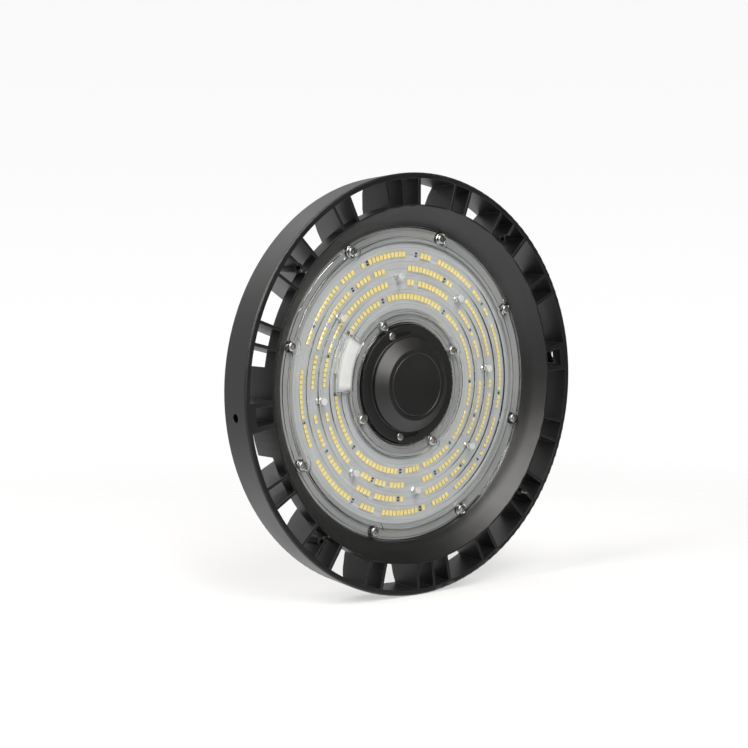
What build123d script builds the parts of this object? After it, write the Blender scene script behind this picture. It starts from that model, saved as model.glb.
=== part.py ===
from build123d import *
import os
from math import cos, degrees, pi, radians, sin, sqrt

# Round LED high bay light, lens down and suspension boss up.
# Z = 0 is the flat front face of the rim, and +Z runs up to the suspension boss.
# Angles called "seen" are read from below, anticlockwise from the right bracket hole.

# Outer ring
rim_radius = 150.0
rim_draft = 2.2
rim_height = 27.5
rim_wall = 4.0
rim_back_wall = 3.0
rim_edge_round = 1.3

# Bezel dish and drum behind it
bezel_radius = 127.6
bezel_lip = 1.2
bezel_inner_radius = 113.3
bezel_depth = 11.6
drum_depth = 11.0
drum_step = 6.0
casting_wall = 3.7

# Board and lens seats
lens_shelf_z = 17.0
board_recess = 2.1
plate_thickness = 4.0
board_radius = 100.5
board_inner_inset = 10.1
seat_clearance = 0.7

# Ribs between the drum and the ring, which run on as fins
rib_thickness = 2.2
pair_half_angle = 3.0
triple_angle = 6.0
rib_notch = 3.8
rib_notch_length = 5.5
rib_drum_rise = 2.6
fin_rise = 9.9
rib_overlap = 1.0
rib_ring_overlap = 0.5

# Bracket bosses on the X axis
bracket_rib_thickness = 3.4
bracket_rib_half_angle = 3.3
bracket_boss_depth = 4.4
bracket_hole_radius = 3.2
nut_pocket_width = 10.4
nut_pocket_depth = 3.2
deep_wall_half_angle = 14.0
deep_wall_thickness = 3.4

# Accessory screw bosses on the middle ribs
accessory_offset = 5.4
accessory_boss_radius = 3.6
accessory_hole_radius = 1.65
accessory_recess = 4.0
accessory_hole_depth = 14.0

# Driver compartment
compartment_radius = 75.0
compartment_wall = 3.5
compartment_draft = 1.2
compartment_top = 66.0
hub_hole_radius = 10.0
cover_screw_inset = 9.5
cover_boss_radius = 6.6
cover_screw_count = 6
cover_screw_pilot = 1.65
cover_screw_depth = 14.0

# Rear cover
cover_gasket = 1.2
cover_height = 11.0
cover_wall = 3.5
cover_edge_round = 5.0
cover_rib_count = 12
cover_rib_height = 2.4
cover_rib_thickness = 3.0
cover_rib_gap = 6.0
cover_rib_inset = 19.0
boss_radius = 14.0
boss_height = 4.0
boss_depth = 22.0
suspension_thread_radius = 4.25
suspension_thread_depth = 18.0

# Clear lens plate
lens_edge_gap = 0.8
lens_cap_gap = 1.5
lens_inner_flange = 8.1
lens_face_z = 12.4
lens_bead_width = 1.9
lens_bead_drop = 0.8
lens_outer_flange = 7.1
lens_optic_rise = 0.8
lens_back_z = 14.6
lens_dome_width = 8.4
lens_dome_height = 1.6
lens_groove_width = 5.6
lens_groove_height = 1.3
lens_boss_radius = 7.5
lens_collar_height = 1.2
lens_collar_wall = 0.9
outer_screw_inset = 5.0
inner_screw_inset = 4.1
lens_post_inset = 15.4
lens_post_radius = 2.6
lens_post_room = 4.4
lens_post_height = 2.2
lens_bay_half_angle = 20.0
lens_bay_angle = 158.0
lens_bay_start = 9.5
lens_bay_length = 15.0
lens_bay_rise = 3.4
lens_bay_wall = 1.6
lens_bay_overlap = 1.0
lens_joint = 0.4
gasket_width = 2.4
gasket_side_room = 0.6
gasket_lip = 0.5
gasket_lip_inset = 1.0

# LED board
board_thickness = 1.6
pad_thickness = 0.5
led_pitch = 3.45
led_length = 3.5
led_width = 2.8
led_height = 0.7
led_outer_radius = 92.6
led_ring_spacing = 10.0
led_ring_count = 4
led_wide_breaks = (
    tuple(22.5 + 45.0 * k for k in range(8)),
    (0.0, 45.0, 90.0, 180.0, 225.0, 270.0, 315.0),
    (0.0, 45.0, 90.0, 180.0, 225.0, 270.0, 315.0),
    (lens_bay_angle,),
)
led_wide_widths = (5.0, 12.0, 12.4, 43.0)
led_narrow_breaks = (
    (41.0, 82.0, 123.0, 163.0, 237.0, 278.0, 319.0),
    (105.0, 140.5, 156.5, 191.5, 243.0, 295.0, 348.0),
    (18.5, 77.5, 140.5, 148.0, 193.0, 251.0),
    (28.5, 83.5, 279.0, 334.0),
)
resistor_angles = (
    (31.0, 78.0, 106.0, 146.0, 188.0, 233.0, 273.0, 314.0, 347.0),
    (57.5, 119.0, 205.5, 259.5, 304.5),
    (24.5, 156.0, 239.5, 287.5, 332.5),
    (48.5, 103.0, 216.0, 260.0, 307.5, 353.0),
)
led_narrow_width = 2.4
resistor_length = 1.6
resistor_width = 0.9
resistor_height = 0.5
resistor_spacing = 1.9
chip_clearance = 0.25
connector_offset = 1.0
connector_length = 8.0
connector_width = 15.0
connector_height = 4.6

# Fasteners
lens_screw_radius = 1.5
lens_screw_head_radius = 3.1
lens_screw_head_height = 1.7
lens_screw_length = 8.0
cross_arm = 3.3
cross_width = 0.8
cross_depth = 1.1
screw_clearance = 0.3
lens_pilot_depth = 5.0
board_pilot_depth = 3.0
tray_pilot_depth = 4.0
screw_edge_share = 0.45
board_screw_head_radius = 2.5
board_screw_head_height = 1.6
board_screw_length = 5.0
cover_screw_radius = 2.0
cover_screw_head_radius = 3.6
cover_screw_head_height = 2.4

# Centre cap
cap_flange_radius = 42.0
cap_flange_z = 11.5
cap_flange_thickness = 2.5
cap_flange_width = 8.3
cap_cone_z = 8.5
cap_cone_run = 8.1
cap_top_z = 2.7
cap_wall = 2.5
cap_skirt_inset = 1.0
cap_skirt_wall = 3.0
cap_ring_inset = 3.8
cap_ring_width = 0.7
cap_ring_depth = 0.4
cap_gasket = 1.2
cap_screw_inset = 4.4
cap_screw_angle = 73.0
cap_slot_length = 15.0
cap_slot_width = 3.0
cap_slot_round = 3.0
cap_slot_depth = 1.2
cap_pad_radius = 4.6
socket_radius = 13.0
socket_height = 7.0
socket_flange_radius = 19.0
socket_flange_height = 2.0
socket_wall = 3.0
socket_pin_radius = 1.0
socket_pin_circle = 4.5

# Cable gland and breather in the compartment wall
port_height = 50.5
port_stand = 4.0
gland_thread_radius = 8.0
gland_port_radius = 13.5
gland_flange_radius = 12.0
gland_flange_length = 5.0
gland_thread_length = 11.0
gland_neck_length = 7.0
gland_neck_wall = 1.8
gland_seal_radius = 7.0
gland_seal_length = 9.7
gland_seal_slack = 0.3
gland_cable_radius = 4.2
gland_nut_radius = 11.0
gland_nut_length = 15.0
gland_nut_dome = 5.0
gland_nut_gap = 0.5
gland_nut_mouth = 0.8
gland_locknut_radius = 11.5
gland_locknut_length = 4.0
vent_thread_radius = 6.0
vent_port_radius = 10.0
vent_cap_radius = 8.5
vent_cap_length = 5.0
vent_thread_length = 8.0
thread_clearance = 0.15

# Driver inside the compartment
tray_size = (88.0, 72.0, 22.0)
tray_wall = 1.8
tray_foot_height = 3.0
tray_foot_radius = 4.0
tray_screw_radius = 1.4
driver_board_gap = 3.0
driver_board_thickness = 1.6
transformer_size = (30.0, 27.0, 19.0)
capacitor_radius = 8.0
capacitor_height = 26.0
choke_radius = 10.0
choke_thickness = 9.0
terminal_size = (10.0, 22.0, 12.0)
transformer_x = 6.0
capacitor_x = -22.0
capacitor_gap = 6.0
choke_x = 31.0
choke_y = -20.0
terminal_x = 35.0
terminal_y = 14.0

# Sizes that follow from the ones above
plate_face_z = lens_shelf_z + board_recess
plate_back_z = plate_face_z + plate_thickness
rim_inner_radius = rim_radius - rim_wall
rim_back_radius = rim_radius - rim_draft
accessory_circle_radius = bezel_radius + accessory_offset
cap_skirt_radius = cap_flange_radius - cap_skirt_inset
cap_cone_radius = cap_flange_radius - cap_flange_width
cap_top_radius = cap_cone_radius - cap_cone_run
cap_ring_radius = cap_top_radius - cap_ring_inset
cap_screw_circle = cap_flange_radius - cap_screw_inset
lens_radius = bezel_inner_radius - lens_edge_gap
lens_outer_step_radius = lens_radius - lens_outer_flange
outer_screw_circle = lens_radius - outer_screw_inset
lens_post_circle = led_outer_radius - lens_post_inset
lens_inner_radius = cap_flange_radius + lens_cap_gap
lens_inner_step_radius = lens_inner_radius + lens_inner_flange
inner_screw_circle = lens_inner_radius + inner_screw_inset
lens_bay_inner = lens_inner_radius + lens_bay_start
lens_bay_outer = lens_bay_inner + lens_bay_length
connector_radius = (lens_bay_inner + lens_bay_outer) / 2 + connector_offset
board_inner_radius = lens_inner_radius + board_inner_inset
led_radii = [led_outer_radius - led_ring_spacing * k for k in range(led_ring_count)]
board_seat_radius = board_radius + seat_clearance
board_seat_inner = board_inner_radius - seat_clearance
board_face_z = plate_face_z - pad_thickness - board_thickness
led_face_z = board_face_z - led_height
pocket_back_radius = bezel_inner_radius + casting_wall
fin_top_z = plate_back_z + fin_rise
rib_drum_z = rim_height + rib_drum_rise
compartment_inner = compartment_radius - compartment_wall
cover_screw_circle = compartment_radius - cover_screw_inset
cover_rib_inner = boss_radius + cover_rib_gap
cover_rib_outer = compartment_radius - cover_rib_inset
port_face = compartment_radius + port_stand
cover_base_z = compartment_top + cover_gasket
cover_top_z = cover_base_z + cover_height
boss_top_z = cover_top_z + boss_height
lens_optic_z = lens_face_z - lens_optic_rise
lens_seat_z = lens_shelf_z - gasket_lip
lens_bay_top_z = lens_optic_z - lens_bay_rise
tray_floor_z = plate_back_z + tray_foot_height
tray_foot_x = tray_size[0] / 2 - tray_wall - tray_foot_radius - 1.0
tray_foot_y = tray_size[1] / 2 - tray_wall - tray_foot_radius - 1.0
driver_board_z = tray_floor_z + tray_wall + driver_board_gap
outer_screw_angles = [22.5 + 45.0 * k for k in range(8)]
inner_screw_angles = [22.5 + 90.0 * k for k in range(4)]
post_angles = [45.0 * k for k in range(8)]
accessory_angles = [45.0 + 90.0 * k for k in range(4)]
cover_screw_angles = [360.0 / cover_screw_count * k for k in range(cover_screw_count)]


def turned(profile):
    """Revolves a closed outline of (radius, height) points about the Z axis."""
    return revolve(make_face(Plane.XZ * profile), Axis.Z)


def turned_polygon(*points):
    return turned(Polyline(*points, close=True))


def tube(outer, inner, low, high):
    """A plain ring between two heights."""
    return Pos(0, 0, low) * extrude(Circle(outer) - Circle(inner), high - low)


def rod(radius, low, high, x=0.0, y=0.0):
    return Pos(x, y, low) * extrude(Circle(radius), high - low)


def seen(angle, shape):
    """Turns a shape made on the +X axis to an angle as read from below."""
    return Rot(0, 0, -angle) * shape


def slab(outline, thickness):
    """A plate in the XZ plane, centred on it."""
    return extrude(make_face(Plane.XZ * outline), thickness / 2, both=True)


def sector(inner, outer, half_angle, low, high):
    """A ring segment centred on the +X axis."""
    reach = outer * 1.3
    side = reach * sin(radians(half_angle))
    wedge = Polyline((0, 0), (reach * cos(radians(half_angle)), -side),
                     (reach * 1.1, 0), (reach * cos(radians(half_angle)), side), close=True)
    area = (Circle(outer) - Circle(inner)) & make_face(wedge)
    return Pos(0, 0, low) * extrude(area, high - low)


def rim():
    """The outer band, drafted towards its back and rounded at its front edge."""
    edge = rim_edge_round
    outline = Line((rim_inner_radius, 0), (rim_radius - edge, 0))
    outline += RadiusArc((rim_radius - edge, 0), (rim_radius, edge), -edge)
    outline += Line((rim_radius, edge), (rim_back_radius, rim_height))
    outline += Line((rim_back_radius, rim_height), (rim_back_radius - rim_back_wall, rim_height))
    outline += Line((rim_back_radius - rim_back_wall, rim_height), (rim_inner_radius, 0))
    return turned(outline)


def dish():
    """Bezel, drum, mounting plate, hub and compartment wall, as one turned form."""
    step_radius = pocket_back_radius + drum_step
    return turned_polygon(
        (bezel_radius, 0),
        (bezel_radius - bezel_lip, 0),
        (bezel_inner_radius, bezel_depth),
        (bezel_inner_radius, lens_shelf_z),
        (board_seat_radius, lens_shelf_z),
        (board_seat_radius, plate_face_z),
        (board_seat_inner, plate_face_z),
        (board_seat_inner, lens_shelf_z),
        (hub_hole_radius, lens_shelf_z),
        (hub_hole_radius, plate_back_z),
        (compartment_inner, plate_back_z),
        (compartment_inner, compartment_top),
        (compartment_radius, compartment_top),
        (compartment_radius + compartment_draft, plate_back_z),
        (pocket_back_radius, plate_back_z),
        (pocket_back_radius, drum_depth + casting_wall),
        (step_radius, drum_depth),
        (bezel_radius, drum_depth),
    )


def rib(thickness):
    """One rib from the ring to the drum, running on behind the plate as a fin."""
    ring_end = rim_inner_radius + rib_ring_overlap
    notch_start = rim_inner_radius - rim_notch_offset()
    drum_end = bezel_radius - rib_overlap
    plate_edge = pocket_back_radius - rib_overlap
    outline = Polyline(
        (ring_end, 0),
        (ring_end, rim_height - rib_notch),
        (notch_start, rim_height),
        (bezel_radius, rib_drum_z),
        (compartment_radius, fin_top_z),
        (compartment_radius, plate_back_z - rib_overlap),
        (plate_edge, plate_back_z - rib_overlap),
        (plate_edge, drum_depth + casting_wall - 1.6 * rib_overlap),
        (drum_end, drum_depth - rib_overlap),
        (drum_end, 0),
        close=True,
    )
    return slab(outline, thickness)


def rim_notch_offset():
    """How far inside the ring's front wall the step in a rib's back edge ends."""
    return rib_notch_length + (rim_radius - rim_back_radius)


def rib_angles():
    """Seen angles of the plain ribs: pairs between the bosses and triples at every 45 degrees."""
    pairs = [22.5 + 45.0 * k + side * pair_half_angle for k in range(8) for side in (-1, 1)]
    middles = [45.0 * k for k in range(8) if k % 4]
    triples = [middle + side * triple_angle for middle in middles for side in (-1, 0, 1)]
    return pairs + triples


def bracket_boss():
    """Thick wall between two stout ribs, and the deep drum wall behind them."""
    inner_face = rim_inner_radius - bracket_boss_depth
    width = 2 * rim_inner_radius * sin(radians(bracket_rib_half_angle))
    depth = bracket_boss_depth + rib_ring_overlap
    block = Pos(inner_face + depth / 2, 0, rim_height / 2) * Box(depth, width, rim_height)
    ribs = [seen(side * bracket_rib_half_angle, rib(bracket_rib_thickness)) for side in (-1, 1)]
    wall = sector(bezel_radius - deep_wall_thickness, bezel_radius, deep_wall_half_angle,
                  drum_depth - rib_overlap, rim_height)
    return [block, wall] + ribs


def bracket_cut():
    """The bolt hole through the ring and the square nut pocket behind it."""
    inner_face = rim_inner_radius - bracket_boss_depth
    hole = Pos(inner_face - 1, 0, rim_height / 2) * Rot(0, 90, 0) * extrude(
        Circle(bracket_hole_radius), rim_radius - inner_face + 2)
    pocket = Pos(inner_face + nut_pocket_depth / 2 - 0.5, 0, rim_height / 2) * Box(
        nut_pocket_depth + 1.0, nut_pocket_width, nut_pocket_width)
    return [hole, pocket]


def cover_bosses(low, high):
    """Screw bosses standing inside the compartment wall."""
    return [seen(angle, rod(cover_boss_radius, low, high, cover_screw_circle)
                 & tube(compartment_radius - 0.5, 1.0, low, high))
            for angle in cover_screw_angles]


def side_port(radius, sign):
    """A round pad with a flat face on the compartment wall, along the Y axis."""
    start = compartment_inner + 1.0
    pad = extrude(Circle(radius), port_face - start)
    return Pos(0, sign * start, port_height) * Rot(-sign * 90, 0, 0) * pad


def side_hole(radius, sign):
    start = compartment_inner - 3.0
    return Pos(0, sign * start, port_height) * Rot(-sign * 90, 0, 0) * extrude(
        Circle(radius), port_face - start + 1.0)


def heatsink_body():
    """The whole aluminium casting."""
    solid = dish() + rim()
    added = [seen(angle, rib(rib_thickness)) for angle in rib_angles()]
    added += bracket_boss()
    added += [Rot(0, 0, 180) * piece for piece in bracket_boss()]
    added += [seen(angle, rod(accessory_boss_radius, accessory_recess, rib_drum_z - 2.0,
                              accessory_circle_radius)) for angle in accessory_angles]
    added += cover_bosses(plate_back_z - 1.0, compartment_top)
    added += [side_port(gland_port_radius, 1), side_port(vent_port_radius, -1)]
    added += [rod(tray_foot_radius, plate_back_z - 1.0, tray_floor_z, x * tray_foot_x, y * tray_foot_y)
              for x in (-1, 1) for y in (-1, 1)]
    solid = solid + added
    cuts = bracket_cut() + [Rot(0, 0, 180) * piece for piece in bracket_cut()]
    cuts += [seen(angle, rod(accessory_boss_radius + 0.5, -1.0, accessory_recess,
                             accessory_circle_radius)) for angle in accessory_angles]
    cuts += [seen(angle, rod(accessory_hole_radius, 0.0, accessory_recess + accessory_hole_depth,
                             accessory_circle_radius)) for angle in accessory_angles]
    cuts += [seen(angle, rod(cover_screw_pilot, compartment_top - cover_screw_depth,
                             compartment_top + 1.0, cover_screw_circle)) for angle in cover_screw_angles]
    cuts += [side_hole(gland_thread_radius, 1), side_hole(vent_thread_radius, -1)]
    for circle, angles in ((outer_screw_circle, outer_screw_angles), (inner_screw_circle, inner_screw_angles),
                           (cap_screw_circle, cap_screw_angles())):
        cuts += [seen(angle, rod(lens_screw_radius, 0.0, lens_shelf_z + lens_pilot_depth, circle))
                 for angle in angles]
    cuts += [seen(angle, rod(lens_screw_radius, 0.0, plate_face_z + board_pilot_depth, lens_post_circle))
             for angle in post_angles]
    cuts += [rod(tray_screw_radius, tray_floor_z - tray_pilot_depth, tray_floor_z + 1.0, x * tray_foot_x,
                 y * tray_foot_y) for x in (-1, 1) for y in (-1, 1)]
    return solid - cuts


def cap_screw_angles():
    return [180.0 - cap_screw_angle, 180.0 + cap_screw_angle]


def dome_outline(radius):
    """The ridge of clear plastic over one LED ring."""
    half = lens_dome_width / 2
    base = lens_optic_z + lens_joint
    return make_face(Plane.XZ * (
        ThreePointArc((radius - half, base), (radius, lens_optic_z - lens_dome_height), (radius + half, base))
        + Line((radius + half, base), (radius - half, base))))


def groove_outline(radius):
    """The hollow on the lens's inner side that faces one LED ring."""
    half = lens_groove_width / 2
    base = lens_back_z + lens_joint
    return make_face(Plane.XZ * (
        ThreePointArc((radius - half, base), (radius, lens_back_z - lens_groove_height),
                      (radius + half, base))
        + Line((radius + half, base), (radius - half, base))))


def ridge(outline, index):
    """Turns a ridge or groove round the lens; the inner one stops short of the connector bay."""
    if index < len(led_radii) - 1:
        return revolve(outline, Axis.Z)
    open_half = lens_bay_half_angle - lens_bay_overlap
    return seen(lens_bay_angle - open_half, revolve(outline, Axis.Z, revolution_arc=360.0 - 2 * open_half))


def lens_plate():
    """The clear moulded optic: flanges, ridges, screw bosses, posts and the connector bay."""
    bead = lens_face_z + lens_bead_drop
    gasket_outer = board_seat_radius + gasket_width + gasket_side_room
    gasket_inner = board_seat_inner - gasket_width - gasket_side_room
    plate = turned_polygon(
        (lens_radius, bead),
        (lens_radius - lens_bead_width, bead),
        (lens_radius - lens_bead_width, lens_face_z),
        (lens_outer_step_radius, lens_face_z),
        (lens_outer_step_radius, lens_optic_z),
        (lens_inner_step_radius, lens_optic_z),
        (lens_inner_step_radius, lens_face_z),
        (lens_inner_radius + lens_bead_width, lens_face_z),
        (lens_inner_radius + lens_bead_width, bead),
        (lens_inner_radius, bead),
        (lens_inner_radius, lens_seat_z),
        (gasket_inner, lens_seat_z),
        (gasket_inner, lens_back_z),
        (gasket_outer, lens_back_z),
        (gasket_outer, lens_seat_z),
        (lens_radius, lens_seat_z),
    )
    plate += [ridge(dome_outline(radius), index) for index, radius in enumerate(led_radii)]
    plate -= [ridge(groove_outline(radius), index) for index, radius in enumerate(led_radii)]
    seats = [(outer_screw_circle, outer_screw_angles), (inner_screw_circle, inner_screw_angles)]
    plate -= [seen(angle, rod(lens_boss_radius, 0.0, lens_face_z, circle))
              for circle, angles in seats for angle in angles]
    collar_inner = lens_screw_head_radius + screw_clearance
    collar = tube(collar_inner + lens_collar_wall, collar_inner, lens_face_z - lens_collar_height,
                  lens_face_z + lens_joint)
    plate += [seen(angle, Pos(circle, 0, 0) * collar) for circle, angles in seats for angle in angles]
    plate += [seen(angle, rod(lens_post_radius, lens_optic_z - lens_post_height, lens_back_z - lens_joint,
                              lens_post_circle)) for angle in post_angles]
    plate += seen(lens_bay_angle, sector(lens_bay_inner, lens_bay_outer, lens_bay_half_angle,
                                         lens_bay_top_z, lens_back_z - lens_joint))
    inset = degrees(lens_bay_wall / lens_bay_inner)
    plate -= seen(lens_bay_angle, sector(lens_bay_inner + lens_bay_wall, lens_bay_outer - lens_bay_wall,
                                         lens_bay_half_angle - inset, lens_bay_top_z + lens_bay_wall,
                                         lens_back_z + lens_joint))
    holes = [seen(angle, rod(lens_screw_radius + screw_clearance, 0.0, lens_shelf_z + 1.0, circle))
             for circle, angles in seats for angle in angles]
    holes += [seen(angle, rod(board_screw_head_radius + screw_clearance, board_face_z - lens_post_room,
                              lens_shelf_z, lens_post_circle)) for angle in post_angles]
    return plate - holes


def lens_gasket(inner, outer, lip_inner, lip_outer, circle, angles):
    """A silicone bead between board and lens, with a flat lip under the lens's flange."""
    bead = tube(outer, inner, lens_back_z, lens_shelf_z)
    lip = tube(lip_outer, lip_inner, lens_seat_z, lens_shelf_z)
    hole = rod(lens_screw_radius + screw_clearance, lens_back_z, plate_face_z, circle)
    return bead + lip - [seen(angle, hole) for angle in angles]


def outer_gasket():
    inner = board_seat_radius + gasket_side_room / 2
    return lens_gasket(inner, inner + gasket_width, inner, lens_radius - gasket_lip_inset, outer_screw_circle,
                       outer_screw_angles)


def inner_gasket():
    outer = board_seat_inner - gasket_side_room / 2
    return lens_gasket(outer - gasket_width, outer, lens_inner_radius + gasket_lip_inset, outer,
                       inner_screw_circle, inner_screw_angles)


def led_board():
    """The aluminium-core board, with its fixing holes and the hole for the leads."""
    board = tube(board_radius, board_inner_radius, board_face_z, board_face_z + board_thickness)
    holes = [seen(angle, rod(lens_screw_radius + screw_clearance, board_face_z - 1.0, plate_face_z,
                             lens_post_circle)) for angle in post_angles]
    return board - holes


def thermal_pad():
    """The heat-conducting sheet between board and casting."""
    pad = tube(board_radius - 0.5, board_inner_radius + 0.5, plate_face_z - pad_thickness, plate_face_z)
    holes = [seen(angle, rod(lens_screw_radius + screw_clearance, plate_face_z - 1.0, plate_face_z + 1.0,
                             lens_post_circle)) for angle in post_angles]
    return pad - holes


def apart(angle, other):
    """The smaller angle between two directions."""
    return abs((angle - other + 180.0) % 360.0 - 180.0)


def led_ring(index):
    """One ring of LED packages, left out where the row of LEDs breaks."""
    radius = led_radii[index]
    count = round(2 * pi * radius / led_pitch)
    package = Pos(radius, 0, led_face_z + led_height / 2) * Box(led_length, led_width, led_height)
    breaks = [(centre, led_wide_widths[index] / 2) for centre in led_wide_breaks[index]]
    breaks += [(centre, led_narrow_width / 2) for centre in led_narrow_breaks[index]]
    chip_room = degrees((led_width / 2 + resistor_length / 2 + chip_clearance) / radius)
    breaks += [(centre, chip_room) for centre in resistor_angles[index]]
    angles = [360.0 / count * k for k in range(count)]
    kept = [a for a in angles if all(apart(a, centre) > half for centre, half in breaks)]
    return [seen(angle, package) for angle in kept]


def board_resistors():
    """Pairs of small chip resistors in the breaks between LED strings."""
    pieces = []
    for index, radius in enumerate(led_radii):
        for angle in resistor_angles[index]:
            for side in (-1, 1):
                chip = Pos(radius + side * resistor_spacing / 2, 0, board_face_z - resistor_height / 2) * Box(
                    resistor_width, resistor_length, resistor_height)
                pieces.append(seen(angle, chip))
    return pieces


def board_connector():
    """The two-pole lead connector under the clear bay."""
    middle = board_face_z - connector_height / 2
    block = Pos(0, 0, middle) * Box(connector_length, connector_width, connector_height)
    mouths = [Pos(-connector_length / 2, side * connector_width / 4, middle)
              * Box(connector_length, connector_width / 4, connector_height / 2) for side in (-1, 1)]
    return seen(lens_bay_angle, Pos(connector_radius, 0, 0) * (block - mouths))


def screw(head_radius, head_height, shank_radius, length):
    """A domed cross-recess screw with its head towards -Z and its bearing face at Z = 0."""
    edge = head_height * screw_edge_share
    outline = Line((0, length), (shank_radius, length))
    outline += Line((shank_radius, length), (shank_radius, 0))
    outline += Line((shank_radius, 0), (head_radius, 0))
    outline += Line((head_radius, 0), (head_radius, -edge))
    outline += ThreePointArc((head_radius, -edge), (head_radius * 0.6, -head_height * 0.9), (0, -head_height))
    outline += Line((0, -head_height), (0, length))
    solid = turned(outline)
    arm = Pos(0, 0, -head_height + cross_depth / 2 - 0.25) * Box(cross_arm, cross_width, cross_depth + 0.5)
    return solid - arm - Rot(0, 0, 90) * arm


def lens_screws(circle, angles):
    one = screw(lens_screw_head_radius, lens_screw_head_height, lens_screw_radius, lens_screw_length)
    return [seen(angle, Pos(circle, 0, lens_face_z) * one) for angle in angles]


def board_screws():
    one = screw(board_screw_head_radius, board_screw_head_height, lens_screw_radius, board_screw_length)
    return [seen(angle, Pos(lens_post_circle, 0, board_face_z) * one) for angle in post_angles]


def keyhole(low, high):
    """The straight slot in the cap flange with a round end for the screw head."""
    x = -cap_screw_circle * cos(radians(cap_screw_angle))
    y = -cap_screw_circle * sin(radians(cap_screw_angle))
    narrow = Pos(x + cap_slot_length / 2, y, low) * extrude(
        SlotCenterToCenter(cap_slot_length, cap_slot_width), high - low)
    return narrow + rod(cap_slot_round + screw_clearance, low, high, x, y)


def cap_pads(low, high):
    """The two screw pads on the inside of the cap's skirt."""
    return [seen(angle, rod(cap_pad_radius, low, high, cap_screw_circle) & rod(cap_skirt_radius, low, high))
            for angle in cap_screw_angles()]


def sensor_cap_gasket():
    """The gasket under the cap's skirt and screw pads."""
    low = lens_shelf_z - cap_gasket
    ring = tube(cap_skirt_radius, cap_skirt_radius - cap_skirt_wall, low, lens_shelf_z)
    return ring + cap_pads(low, lens_shelf_z) - [
        seen(angle, rod(lens_screw_radius + screw_clearance, 0.0, lens_shelf_z + 1.0, cap_screw_circle))
        for angle in cap_screw_angles()]


def sensor_cap():
    """The blank black cap over the sensor socket."""
    flange_back = cap_flange_z + cap_flange_thickness
    seat = lens_shelf_z - cap_gasket
    skirt_inner = cap_skirt_radius - cap_skirt_wall
    shell = turned_polygon(
        (0, cap_top_z),
        (cap_top_radius, cap_top_z),
        (cap_cone_radius, cap_cone_z),
        (cap_cone_radius, cap_flange_z),
        (cap_flange_radius, cap_flange_z),
        (cap_flange_radius, flange_back),
        (cap_skirt_radius, flange_back),
        (cap_skirt_radius, seat),
        (skirt_inner, seat),
        (skirt_inner, flange_back),
        (cap_cone_radius - cap_wall, flange_back),
        (cap_cone_radius - cap_wall, cap_cone_z + cap_wall * 0.6),
        (cap_top_radius - cap_wall * 0.6, cap_top_z + cap_wall),
        (0, cap_top_z + cap_wall),
    )
    shell -= tube(cap_ring_radius + cap_ring_width, cap_ring_radius, cap_top_z - 1.0,
                  cap_top_z + cap_ring_depth)
    shell = shell + cap_pads(cap_flange_z, seat)
    shell -= [keyhole(cap_flange_z - 1.0, cap_flange_z + cap_slot_depth),
              mirror(keyhole(cap_flange_z - 1.0, cap_flange_z + cap_slot_depth), Plane.XZ)]
    return shell - [seen(angle, rod(lens_screw_radius + screw_clearance, 0.0, seat + 1.0, cap_screw_circle))
                    for angle in cap_screw_angles()]


def cap_screws():
    one = screw(cap_slot_round, lens_screw_head_height * 0.8, lens_screw_radius,
                lens_shelf_z + 4.0 - cap_flange_z - cap_slot_depth)
    return [seen(angle, Pos(cap_screw_circle, 0, cap_flange_z + cap_slot_depth) * one)
            for angle in cap_screw_angles()]


def sensor_socket():
    """The plug-in sensor socket that the cap covers."""
    flange = rod(socket_flange_radius, lens_shelf_z - socket_flange_height, lens_shelf_z)
    barrel = rod(socket_radius, lens_shelf_z - socket_height, lens_shelf_z)
    spigot = rod(hub_hole_radius - thread_clearance, lens_shelf_z, plate_back_z)
    mouth = rod(socket_radius - socket_wall, 0.0, lens_shelf_z - socket_flange_height)
    pin_end = lens_shelf_z - socket_height + socket_pin_radius
    pin = rod(socket_pin_radius, pin_end, lens_shelf_z, socket_pin_circle)
    return flange + barrel + spigot - mouth + [seen(90.0 * k, pin) for k in range(4)]


def rear_cover():
    """The domed lid of the driver compartment, with the suspension boss."""
    edge = cover_edge_round
    outer = compartment_radius
    inner = compartment_inner
    outline = Line((0, cover_top_z), (outer - edge, cover_top_z))
    outline += RadiusArc((outer - edge, cover_top_z), (outer, cover_top_z - edge), edge)
    outline += Line((outer, cover_top_z - edge), (outer, cover_base_z))
    outline += Line((outer, cover_base_z), (inner, cover_base_z))
    outline += Line((inner, cover_base_z), (inner, cover_top_z - cover_wall))
    outline += Line((inner, cover_top_z - cover_wall), (0, cover_top_z - cover_wall))
    outline += Line((0, cover_top_z - cover_wall), (0, cover_top_z))
    lid = turned(outline)
    one_rib = Pos((cover_rib_inner + cover_rib_outer) / 2, 0, cover_top_z + cover_rib_height / 2 - 0.5) * Box(
        cover_rib_outer - cover_rib_inner, cover_rib_thickness, cover_rib_height + 1.0)
    ribs = [seen(360.0 / cover_rib_count * (k + 0.5), one_rib) for k in range(cover_rib_count)]
    columns = [seen(angle, rod(cover_boss_radius, cover_base_z, cover_top_z - 1.0, cover_screw_circle)
                    & tube(compartment_radius - 0.5, 1.0, 0.0, cover_top_z)) for angle in cover_screw_angles]
    boss = rod(boss_radius, boss_top_z - boss_depth, boss_top_z)
    lid = lid + ribs + columns + boss
    lid -= rod(suspension_thread_radius, boss_top_z - suspension_thread_depth, boss_top_z + 1.0)
    lid -= [seen(angle, rod(cover_screw_radius + screw_clearance, cover_base_z - 1.0, cover_top_z + 1.0,
                            cover_screw_circle)) for angle in cover_screw_angles]
    return lid


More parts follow.
